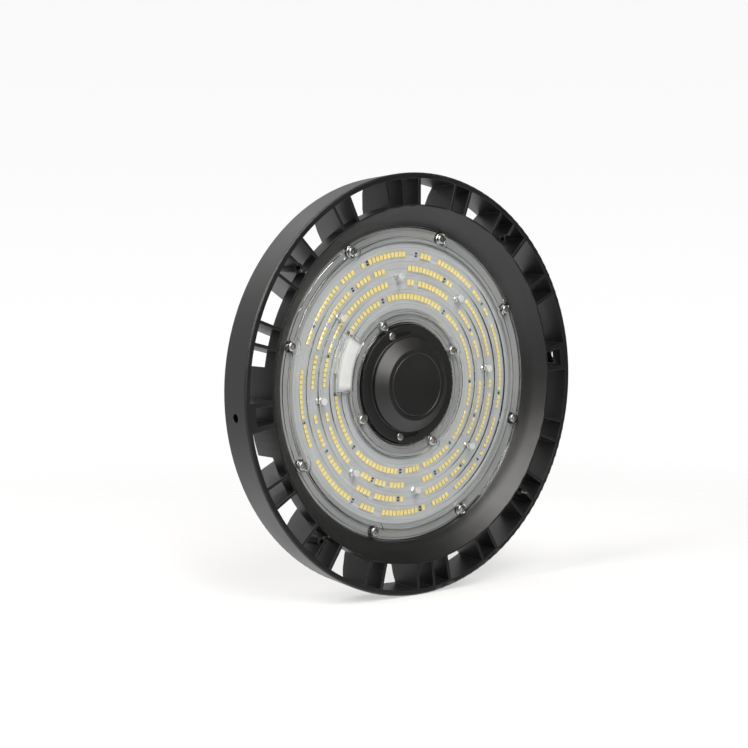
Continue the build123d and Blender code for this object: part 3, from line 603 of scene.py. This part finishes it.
POWDER_COAT = grained("powder_coat", (0.0042, 0.0043, 0.0045), (0.006, 0.006, 0.006), 0.42, 1300.0, 0.00005,
                      edge_colour=(0.012, 0.012, 0.0115), edge_radius=0.0006, specular=0.65)
CAP_BLACK = grained("cap_black", (0.0042, 0.0042, 0.0042), (0.006, 0.006, 0.0058), 0.45, 2200.0, 0.00002,
                    edge_colour=(0.012, 0.012, 0.012), edge_radius=0.0004, specular=0.7)
BLACK_PLASTIC = grained("black_plastic", (0.012, 0.012, 0.012), (0.02, 0.02, 0.02), 0.38, 1800.0, 0.00004,
                        edge_colour=(0.03, 0.03, 0.03), edge_radius=0.0004)
BLACK_RUBBER = grained("black_rubber", (0.014, 0.014, 0.014), (0.022, 0.022, 0.022), 0.7, 900.0, 0.00005)
SILICONE = grained("silicone", (0.28, 0.285, 0.29), (0.33, 0.33, 0.335), 0.55, 900.0, 0.00003)
STAINLESS = grained("stainless", (0.54, 0.53, 0.50), (0.64, 0.63, 0.60), 0.33, 2500.0, 0.00002, metallic=1.0)
HEAT_PAD = grained("heat_pad", (0.35, 0.42, 0.5), (0.4, 0.47, 0.55), 0.6, 900.0, 0.00003)
CHIP_BLACK = grained("chip_black", (0.008, 0.008, 0.009), (0.016, 0.016, 0.016), 0.35, 3000.0, 0.00002)
LED_FRAME = grained("led_frame", (0.60, 0.49, 0.30), (0.68, 0.57, 0.38), 0.45, 2600.0, 0.00002)
WHITE_PLASTIC = grained("white_plastic", (0.72, 0.72, 0.70), (0.80, 0.80, 0.78), 0.4, 1800.0, 0.00003)
GREEN_BOARD = grained("green_board", (0.02, 0.10, 0.04), (0.03, 0.14, 0.06), 0.4, 900.0, 0.00004)
FERRITE = grained("ferrite", (0.05, 0.05, 0.052), (0.08, 0.08, 0.08), 0.6, 1500.0, 0.00006)
CLEAR = clear_plastic("clear_polycarbonate")
FROSTED = frosted_plastic()
HAZY = hazy_bay()
BOARD_WHITE = board_white()
PHOSPHOR = phosphor()


# ---- the clear lens ----------------------------------------------------------------------------------------------

def lens_outline():
    bead = lens_face_z + lens_bead_drop
    channel = lens_face_z + lens_channel_depth
    points = [(lens_radius, bead + 0.25), (lens_radius - 0.25, bead), (lens_radius - lens_bead_width, bead),
              (lens_radius - lens_bead_width - 0.2, lens_face_z), (lens_outer_channel[1] + 0.2, lens_face_z),
              (lens_outer_channel[1], channel), (lens_outer_channel[0], channel),
              (lens_outer_channel[0] - 0.2, lens_face_z), (lens_outer_step_radius, lens_face_z),
              (lens_outer_step_radius - 0.3, lens_optic_z)]
    for radius in led_radii[:3]:
        points += arch(radius, lens_optic_z, lens_dome_height, lens_dome_width, 12)
    points += arch(led_radii[3], lens_optic_z, lens_dome_height, lens_dome_width, 12)
    points += [(lens_inner_step_radius + 0.3, lens_optic_z), (lens_inner_step_radius, lens_face_z),
               (lens_inner_channel[1] + 0.2, lens_face_z), (lens_inner_channel[1], channel),
               (lens_inner_channel[0], channel), (lens_inner_channel[0] - 0.2, lens_face_z),
               (lens_inner_radius + lens_bead_width, lens_face_z), (lens_inner_radius + lens_bead_width, bead),
               (lens_inner_radius + 0.25, bead), (lens_inner_radius, bead + 0.25), (lens_inner_radius, lens_seat_z),
               (lens_gasket_seat[0], lens_seat_z), (lens_gasket_seat[0], lens_back_z)]
    for radius in reversed(led_radii):
        points += reversed(arch(radius, lens_back_z, lens_groove_height, lens_groove_width, 8))
    points += [(lens_gasket_seat[1], lens_back_z), (lens_gasket_seat[1], lens_seat_z), (lens_radius, lens_seat_z)]
    return points


def lens_bay(name, shrink, low, high):
    """The raised bay over the lead connector: a sector drawn as a box and bent round by hand."""
    inner = lens_bay_inner + shrink
    outer = lens_bay_outer - shrink
    half = lens_bay_half_angle - math.degrees(shrink / lens_bay_inner)
    obj = first_vertex(name, at(inner, lens_bay_angle - half, high))
    bpy.ops.mesh.extrude_vertices_move(TRANSFORM_OT_translate={
        "value": at(outer, lens_bay_angle - half) - at(inner, lens_bay_angle - half)})
    bpy.ops.mesh.select_all(action="SELECT")
    bpy.ops.mesh.extrude_edges_move(TRANSFORM_OT_translate={"value": (0, 0, (low - high) * MM)})
    bpy.ops.mesh.select_all(action="SELECT")
    bpy.ops.mesh.spin(steps=16, angle=math.radians(2 * half), center=(0, 0, 0), axis=(0, 0, 1))
    bpy.ops.mesh.select_all(action="SELECT")
    bpy.ops.mesh.fill_holes(sides=0)
    bpy.ops.mesh.select_all(action="SELECT")
    bpy.ops.mesh.normals_make_consistent(inside=False)
    bpy.ops.object.mode_set(mode="OBJECT")
    return obj


def frost(lens):
    """Gives the faces of the posts and of the bay the frosted finish."""
    lens.data.materials.append(CLEAR)
    lens.data.materials.append(FROSTED)
    lens.data.materials.append(HAZY)
    posts = [at(lens_post_circle, seen) for seen in post_angles]
    for face in lens.data.polygons:
        x, y, z = face.center / MM
        radius = math.hypot(x, y)
        around = apart(-math.degrees(math.atan2(y, x)), lens_bay_angle)
        on_post = any(math.hypot(x - post.x / MM, y - post.y / MM) < lens_post_radius + 0.05 for post in posts)
        on_bay = (around < lens_bay_half_angle + 0.1 and lens_bay_inner - 0.1 < radius < lens_bay_outer + 0.1)
        if z < lens_optic_z - 0.2 and (on_post or on_bay):
            face.material_index = 1 if on_post else 2


def build_gaskets():
    """Clear silicone gaskets: a bead against the lens, a lip under its flange and a foot over the board's edge."""
    for name, node, outline, circle, angles in (
            ("outer_gasket", "lens_gasket_outer",
             [(111.5, lens_shelf_z), (111.5, lens_seat_z), (103.9, lens_seat_z), (103.8, lens_back_z + 0.1),
              (103.7, lens_back_z), (101.7, lens_back_z), (101.6, lens_back_z + 0.1), (101.5, lens_seat_z + 0.3),
              (100.1, lens_seat_z + 0.35), (100.1, lens_shelf_z)], outer_screw_circle, outer_screw_angles),
            ("inner_gasket", "lens_gasket_inner",
             [(44.5, lens_shelf_z), (54.0, lens_shelf_z), (54.0, lens_seat_z + 0.35), (52.6, lens_seat_z + 0.3),
              (52.5, lens_back_z + 0.1), (52.4, lens_back_z), (50.4, lens_back_z), (50.3, lens_back_z + 0.1),
              (50.2, lens_seat_z), (44.5, lens_seat_z)], inner_screw_circle, inner_screw_angles)):
        gasket = turned(name, outline, steps=144)
        radius = gasket_hole_radius if circle == outer_screw_circle else screw_shank_radius + 0.3
        combine(gasket, [peg(radius, lens_back_z - 1.0, lens_shelf_z + 1.0, at(circle, seen), 32) for seen in angles],
                "DIFFERENCE")
        tidy(gasket, 30.0)
        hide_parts(node)
        finish_piece(gasket, SILICONE)


def build_lens():
    lens = turned("lens", lens_outline(), steps=216)
    screws = [at(outer_screw_circle, seen) for seen in outer_screw_angles]
    screws += [at(inner_screw_circle, seen) for seen in inner_screw_angles]
    posts = [at(lens_post_circle, seen) for seen in post_angles]
    combine(lens, [peg(lens_boss_radius, 2.0, lens_face_z, place) for place in screws], "DIFFERENCE")
    inner = screw_head_radius + 0.3
    collar_top = lens_face_z - lens_collar_height
    collar = turned("collar", [(inner + 0.2, collar_top), (inner + 0.7, collar_top), (inner + 0.9, collar_top + 0.2),
                               (inner + 0.9, lens_face_z + 0.3), (inner, lens_face_z + 0.3),
                               (inner, collar_top + 0.2)], steps=32)
    post = turned("post", [(0.0, lens_optic_z - lens_post_height), (lens_post_radius - 0.6, lens_optic_z - lens_post_height),
                           (lens_post_radius - 0.18, lens_optic_z - lens_post_height + 0.18),
                           (lens_post_radius, lens_optic_z - lens_post_height + 0.6),
                           (lens_post_radius, lens_back_z - 0.6), (0.0, lens_back_z - 0.6)], steps=32)
    added = [copied(collar, "collar_copy", Matrix.Translation(place)) for place in screws]
    pads = [peg(lens_pad_radius, lens_face_z, lens_face_z + 1.5, place, 32) for place in screws]
    combine(lens, pads, "UNION")
    added += [copied(post, "post_copy", Matrix.Translation(place)) for place in posts]
    added.append(lens_bay("bay", 0.0, lens_optic_z - lens_bay_rise, lens_back_z - 0.5))
    combine(lens, added, "UNION")
    bpy.data.objects.remove(collar)
    bpy.data.objects.remove(post)
    holes = [peg(screw_shank_radius + 0.3, 2.0, lens_shelf_z + 1.0, place, 24) for place in screws]
    holes += [peg(2.8, board_face_z - 4.4, lens_back_z + 1.0, place, 24) for place in posts]
    holes.append(lens_bay("bay_room", lens_bay_wall, lens_optic_z - lens_bay_rise + lens_bay_wall, lens_back_z + 1.0))
    combine(lens, holes, "DIFFERENCE")
    tidy(lens, 15.0)
    even_normals(lens)
    frost(lens)
    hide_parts("lens_plate")
    return finish_piece(lens, [CLEAR, FROSTED, HAZY])


# ---- LED packages ------------------------------------------------------------------------------------------------

def led_package():
    """One package on the +X axis: a cream frame round a sunk pool of phosphor."""
    clear_selection()
    bpy.ops.mesh.primitive_cube_add(size=1, location=(0, 0, (board_face_z - led_height / 2) * MM))
    obj = named("led_package")
    obj.scale = (led_length * MM, led_face_width * MM, led_height * MM)
    settle(obj)
    obj.data.materials.append(LED_FRAME)
    obj.data.materials.append(PHOSPHOR)
    bpy.ops.object.mode_set(mode="EDIT")
    bpy.ops.mesh.select_mode(type="FACE")
    bpy.ops.mesh.select_all(action="DESELECT")
    bpy.ops.object.mode_set(mode="OBJECT")
    for face in obj.data.polygons:
        face.select = face.normal.z < -0.5
    bpy.ops.object.mode_set(mode="EDIT")
    bpy.ops.mesh.inset(thickness=0.14 * MM)
    bpy.ops.mesh.inset(thickness=0.08 * MM, depth=-0.08 * MM)
    obj.active_material_index = 1
    bpy.ops.object.material_slot_assign()
    bpy.ops.object.mode_set(mode="OBJECT")
    return obj


def led_angles(index):
    radius = led_radii[index]
    count = round(2 * math.pi * radius / led_pitch)
    breaks = [(centre, led_wide_widths[index] / 2) for centre in led_wide_breaks[index]]
    breaks += [(centre, led_narrow_width / 2) for centre in led_narrow_breaks[index]]
    chip_room = math.degrees((led_width / 2 + resistor_length / 2 + chip_clearance) / radius)
    breaks += [(centre, chip_room) for centre in resistor_angles[index]]
    angles = [360.0 / count * k for k in range(count)]
    return [a for a in angles if all(apart(a, centre) > half for centre, half in breaks)]


def build_leds():
    package = led_package()
    for index, radius in enumerate(led_radii):
        name = f"leds_{index + 1}"
        ring = joined([copied(package, name, turned_to(seen, radius)) for seen in led_angles(index)], name)
        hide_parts(f"led_ring_{index + 1}")
        finish_piece(ring, [LED_FRAME, PHOSPHOR])
    bpy.data.objects.remove(package)


# ---- screws ------------------------------------------------------------------------------------------------------

def cross_screw(name, head, height, shank, length):
    """A domed cross-recess screw on the Z axis, its head towards -Z and its bearing face at Z = 0."""
    edge = height * 0.45
    points = [(0.0, length), (shank * 0.7, length), (shank, length - 0.8), (shank, 0.0), (head * 0.93, 0.0),
              (head, -0.12), (head, -edge), (head * 0.97, -height * 0.68), (head * 0.88, -height * 0.86),
              (head * 0.72, -height * 0.95), (head * 0.45, -height * 0.99), (0.0, -height)]
    screw = turned(name, points, steps=32)
    arms = []
    for turn in (0.0, 90.0):
        clear_selection()
        bpy.ops.mesh.primitive_cube_add(size=1, location=(0, 0, -height * MM))
        arm = named("arm")
        arm.scale = (head * 1.35 * MM, head * 0.42 * MM, height * 1.5 * MM)
        arm.rotation_euler = (0, 0, math.radians(turn))
        settle(arm)
        for vertex in arm.data.vertices:
            if vertex.co.z > -height * MM:
                vertex.co.x *= 0.65
                vertex.co.y *= 0.65
        arms.append(arm)
    combine(screw, arms, "DIFFERENCE", crossing=True)
    return tidy(screw, 32.0)


def build_screws():
    one = cross_screw("screw", screw_head_radius, screw_head_height, screw_shank_radius, screw_length)
    for name, node, circle, seen_angles in (
            ("outer_screws", "lens_screws_outer", outer_screw_circle, outer_screw_angles),
            ("inner_screws", "lens_screws_inner", inner_screw_circle, inner_screw_angles)):
        copies = [copied(one, name, turned_to(seen, circle, lens_face_z) @ Matrix.Rotation(0.4 + 0.9 * k, 4, "Z"))
                  for k, seen in enumerate(seen_angles)]
        group = joined(copies, name)
        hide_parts(node)
        finish_piece(group, STAINLESS)
    bpy.data.objects.remove(one)


# ---- the centre cap ------------------------------------------------------------------------------------------------

def cap_outline():
    back = cap_flange_z + cap_flange_thickness
    rim = 0.35
    return [
        (0.0, cap_top_z), (cap_ring_radius - rim, cap_top_z), (cap_ring_radius, cap_top_z + cap_ring_depth),
        (cap_ring_radius + cap_ring_width, cap_top_z + cap_ring_depth),
        (cap_ring_radius + cap_ring_width + rim, cap_top_z), (cap_top_radius - 0.5, cap_top_z),
        (cap_top_radius - 0.05, cap_top_z + 0.12), (cap_top_radius + 0.3, cap_top_z + 0.4),
        (cap_cone_radius - 0.3, cap_cone_z - 0.4), (cap_cone_radius, cap_cone_z),
        (cap_cone_radius, cap_flange_z - 0.4), (cap_cone_radius + 0.4, cap_flange_z),
        (cap_flange_radius - 0.7, cap_flange_z), (cap_flange_radius - 0.2, cap_flange_z + 0.2),
        (cap_flange_radius, cap_flange_z + 0.7), (cap_flange_radius, back), (cap_skirt_radius, back),
        (cap_skirt_radius, cap_seat_z), (cap_skirt_radius - cap_skirt_wall, cap_seat_z),
        (cap_skirt_radius - cap_skirt_wall, back), (cap_cone_radius - cap_wall, back),
        (cap_cone_radius - cap_wall, cap_cone_z + cap_wall * 0.6), (cap_top_radius - cap_wall * 0.6, cap_top_z + cap_wall),
        (0.0, cap_top_z + cap_wall)]


def keyhole(seen):
    """The sunk slot in the cap's flange: a round end for the screw head and a straight way along X."""
    place = at(cap_screw_circle, seen)
    low = cap_flange_z - 1.0
    high = cap_flange_z + cap_slot_depth
    far = place + Vector((cap_slot_length * MM, 0, 0))
    clear_selection()
    bpy.ops.mesh.primitive_cube_add(size=1, location=((place.x + far.x) / 2, place.y, (low + high) / 2 * MM))
    way = named("way")
    way.scale = (cap_slot_length * MM, cap_slot_width * MM, (high - low) * MM)
    settle(way)
    return [peg(cap_slot_round, low, high, place, 32), peg(cap_slot_width / 2, low, high, far, 24), way]


def build_cap():
    cap = turned("cap", cap_outline(), steps=128)
    combine(cap, [peg(cap_pad_radius, cap_flange_z + 0.8, cap_seat_z, at(cap_screw_circle - 0.7, seen), 32)
                  for seen in cap_screw_angles], "UNION")
    combine(cap, keyhole(cap_screw_angles[0]) + keyhole(cap_screw_angles[1]), "DIFFERENCE", crossing=True)
    combine(cap, [peg(screw_shank_radius + 0.3, 5.0, cap_seat_z + 1.0, at(cap_screw_circle, seen), 24)
                  for seen in cap_screw_angles], "DIFFERENCE")
    tidy(cap, 30.0)
    even_normals(cap)
    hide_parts("sensor_cap")
    finish_piece(cap, CAP_BLACK)
    one = cross_screw("screw", 3.0, 1.36, screw_shank_radius, 8.3)
    group = joined([copied(one, "cap_screws", turned_to(seen, cap_screw_circle, cap_flange_z + cap_slot_depth))
                    for seen in cap_screw_angles], "cap_screws")
    bpy.data.objects.remove(one)
    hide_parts("sensor_cap_screws")
    finish_piece(group, STAINLESS)


# ---- the metal and plastic pieces kept from the solids -------------------------------------------------------------

def dress():
    for node, name, material, slot in (
            ("heatsink_body", "casting", POWDER_COAT, "cast_black"),
            ("rear_cover", "cover", POWDER_COAT, "cast_black"),
            ("rear_cover_screws", "cover_screws", STAINLESS, "steel"),
            ("cable_gland_body", "gland_body", BLACK_PLASTIC, "black_plastic"),
            ("cable_gland_nut", "gland_nut", BLACK_PLASTIC, "black_plastic"),
            ("breather_vent", "vent", BLACK_PLASTIC, "black_plastic")):
        finish_piece(smooth_copy(node, name), material)
    for node, material in (
            ("led_board", BOARD_WHITE),
            ("thermal_pad", HEAT_PAD), ("board_resistors", CHIP_BLACK), ("board_connector", WHITE_PLASTIC),
            ("board_screws", STAINLESS), ("sensor_cap_gasket", BLACK_RUBBER), ("sensor_socket", BLACK_PLASTIC),
            ("rear_cover_gasket", BLACK_RUBBER), ("cable_gland_seal", BLACK_RUBBER),
            ("cable_gland_locknut", BLACK_PLASTIC), ("driver_tray", BLACK_PLASTIC), ("driver_board", GREEN_BOARD),
            ("driver_screws", STAINLESS), ("driver_transformer", FERRITE), ("driver_capacitors", BLACK_PLASTIC),
            ("driver_choke", FERRITE), ("driver_terminal", WHITE_PLASTIC)):
        mesh = nodes[node].data
        mesh.materials.clear()
        mesh.materials.append(material)


# ---- camera, light and floor -------------------------------------------------------------------------------------

camera_place = Vector((-0.8087, -0.1872, -0.9627))
camera_right = Vector((0.77190218, 0.0797093, -0.63072455))
camera_up = Vector((0.1493913, -0.9870705, 0.0580868))
camera_back = -Vector((0.61793953, 0.13906209, 0.77382974))
light_centre = Vector((0, 0, 0.03))


def axes(right, up, back):
    return Matrix((right, up, back)).transposed().to_4x4()


def add_camera():
    data = bpy.data.cameras.new("camera")
    data.lens = 86.41
    data.sensor_width = 36.0
    data.clip_start = 0.05
    camera = bpy.data.objects.new("camera", data)
    camera.matrix_world = Matrix.Translation(camera_place) @ axes(camera_right, camera_up, camera_back)
    bpy.context.scene.collection.objects.link(camera)
    bpy.context.scene.camera = camera


def add_softbox(name, right, up, back, distance, width, height, power, colour):
    """A soft light, placed by the photographer's right, up and back and turned to the lamp."""
    towards = (camera_right * right + camera_up * up + camera_back * back).normalized()
    side = camera_up.cross(towards).normalized()
    data = bpy.data.lights.new(name, "AREA")
    data.shape = "RECTANGLE"
    data.size = width
    data.size_y = height
    data.energy = power
    data.color = colour
    light = bpy.data.objects.new(name, data)
    light.matrix_world = (Matrix.Translation(light_centre + towards * distance)
                          @ axes(side, towards.cross(side), towards))
    light.visible_camera = False
    bpy.context.scene.collection.objects.link(light)


def add_world():
    """A near-white backdrop for the camera; a bright sweep behind and below, and a dim room in front, for the light."""
    world = bpy.data.worlds.new("studio")
    world.use_nodes = True
    bpy.context.scene.world = world
    tree = world.node_tree.nodes
    link = world.node_tree.links.new
    shown = tree["Background"]
    shown.inputs["Color"].default_value = (1, 1, 1, 1)
    place = tree.new("ShaderNodeTexCoord")
    behind = tree.new("ShaderNodeVectorMath")
    behind.operation = "DOT_PRODUCT"
    behind.inputs[1].default_value = camera_back * -0.9 - camera_right * 0.43
    below = tree.new("ShaderNodeVectorMath")
    below.operation = "DOT_PRODUCT"
    below.inputs[1].default_value = -camera_up
    sweep = tree.new("ShaderNodeMapRange")
    sweep.interpolation_type = "SMOOTHSTEP"
    sweep.inputs["From Min"].default_value = -0.15
    sweep.inputs["From Max"].default_value = 0.55
    sweep.inputs["To Min"].default_value = 0.04
    sweep.inputs["To Max"].default_value = 0.55
    floor = tree.new("ShaderNodeMapRange")
    floor.interpolation_type = "SMOOTHSTEP"
    floor.inputs["From Min"].default_value = 0.1
    floor.inputs["From Max"].default_value = 0.8
    floor.inputs["To Min"].default_value = 0.0
    floor.inputs["To Max"].default_value = 1.2
    tone = tree.new("ShaderNodeMapRange")
    tone.interpolation_type = "SMOOTHSTEP"
    tone.inputs["From Min"].default_value = -0.2
    tone.inputs["From Max"].default_value = 0.0
    tone.inputs["To Min"].default_value = 0.95
    tone.inputs["To Max"].default_value = 1.0
    total = tree.new("ShaderNodeMath")
    total.operation = "ADD"
    light = tree.new("ShaderNodeBackground")
    light.inputs["Color"].default_value = (1, 1, 1, 1)
    path = tree.new("ShaderNodeLightPath")
    mix = tree.new("ShaderNodeMixShader")
    link(place.outputs["Generated"], behind.inputs[0])
    link(place.outputs["Generated"], below.inputs[0])
    link(behind.outputs["Value"], sweep.inputs["Value"])
    link(below.outputs["Value"], floor.inputs["Value"])
    link(sweep.outputs["Result"], total.inputs[0])
    link(floor.outputs["Result"], total.inputs[1])
    link(below.outputs["Value"], tone.inputs["Value"])
    link(tone.outputs["Result"], shown.inputs["Strength"])
    link(total.outputs["Value"], light.inputs["Strength"])
    link(path.outputs["Is Camera Ray"], mix.inputs["Fac"])
    link(light.outputs["Background"], mix.inputs[1])
    link(shown.outputs["Background"], mix.inputs[2])
    link(mix.outputs["Shader"], tree["World Output"].inputs["Surface"])


def add_floor():
    """The pale floor that the rim stands on in the photographer's view. It thins out with distance and from behind."""
    up = (camera_up + camera_back * 0.075).normalized()
    contact = -up * rim_radius * MM
    clear_selection()
    bpy.ops.mesh.primitive_plane_add(size=3.0)
    floor = named("floor")
    floor.matrix_world = Matrix.Translation(contact + up * -0.0002) @ up.to_track_quat("Z", "Y").to_matrix().to_4x4()
    material, tree, link, shader = new_material("pale_floor")
    tree.remove(shader)
    paper = tree.new("ShaderNodeBsdfDiffuse")
    paper.inputs["Color"].default_value = (0.92, 0.92, 0.92, 1)
    clear = tree.new("ShaderNodeBsdfTransparent")
    place = tree.new("ShaderNodeTexCoord")
    length = tree.new("ShaderNodeVectorMath")
    length.operation = "LENGTH"
    fade = tree.new("ShaderNodeMapRange")
    fade.interpolation_type = "SMOOTHSTEP"
    fade.inputs["From Min"].default_value = 0.25
    fade.inputs["From Max"].default_value = 0.9
    fade.inputs["To Min"].default_value = 0.5
    geometry = tree.new("ShaderNodeNewGeometry")
    either = tree.new("ShaderNodeMath")
    either.operation = "MAXIMUM"
    path = tree.new("ShaderNodeLightPath")
    hidden = tree.new("ShaderNodeMath")
    hidden.operation = "MAXIMUM"
    mix = tree.new("ShaderNodeMixShader")
    link(place.outputs["Object"], length.inputs[0])
    link(length.outputs["Value"], fade.inputs["Value"])
    link(fade.outputs["Result"], either.inputs[0])
    link(geometry.outputs["Backfacing"], either.inputs[1])
    link(either.outputs["Value"], hidden.inputs[0])
    link(path.outputs["Is Glossy Ray"], hidden.inputs[1])
    link(hidden.outputs["Value"], mix.inputs["Fac"])
    link(paper.outputs["BSDF"], mix.inputs[1])
    link(clear.outputs["BSDF"], mix.inputs[2])
    link(mix.outputs["Shader"], tree["Material Output"].inputs["Surface"])
    floor.data.materials.append(material)


build_gaskets()
build_lens()
build_leds()
build_screws()
build_cap()
dress()
add_camera()
add_world()
add_floor()
add_softbox("key_softbox", -0.62, 0.58, 0.53, 1.6, 0.8, 0.8, 22.5, (1.0, 0.97, 0.93))
add_softbox("fill_softbox", 0.3, 0.58, 0.75, 1.7, 0.8, 1.7, 36.0, (1.0, 0.98, 0.94))
add_softbox("back_softbox", -0.45, 0.8, -0.42, 1.5, 1.3, 1.3, 4.0, (0.98, 1.0, 0.98))
bpy.context.scene.view_settings.view_transform = "Standard"
